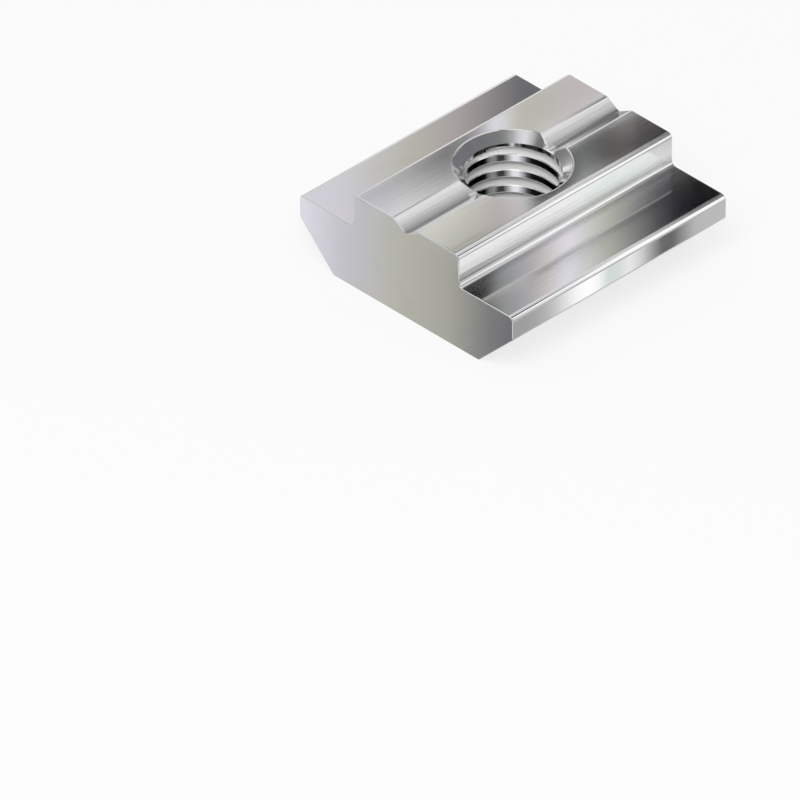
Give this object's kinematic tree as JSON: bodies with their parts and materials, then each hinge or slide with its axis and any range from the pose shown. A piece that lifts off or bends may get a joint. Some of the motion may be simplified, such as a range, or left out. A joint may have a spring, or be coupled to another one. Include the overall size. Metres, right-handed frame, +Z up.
{
  "type": "t slot nut",
  "caption": "Steel T slot nut with a wide flange chamfered underneath, a narrower neck with a centring groove, and a countersunk threaded hole through the middle.",
  "frame": {"origin": "centre of the underside, below the threaded hole", "axes": "+X along the slot, +Y across it, +Z up along the thread towards the neck"},
  "size_m": [0.02, 0.02, 0.0075],
  "materials": {
    "zinc_plated_steel": "bright zinc plating on drawn steel, smooth, with faint lilac, greenish and pinkish tints"
  },
  "bodies": {
    "root": {"nut_body": "zinc_plated_steel"}
  },
  "joints": []
}
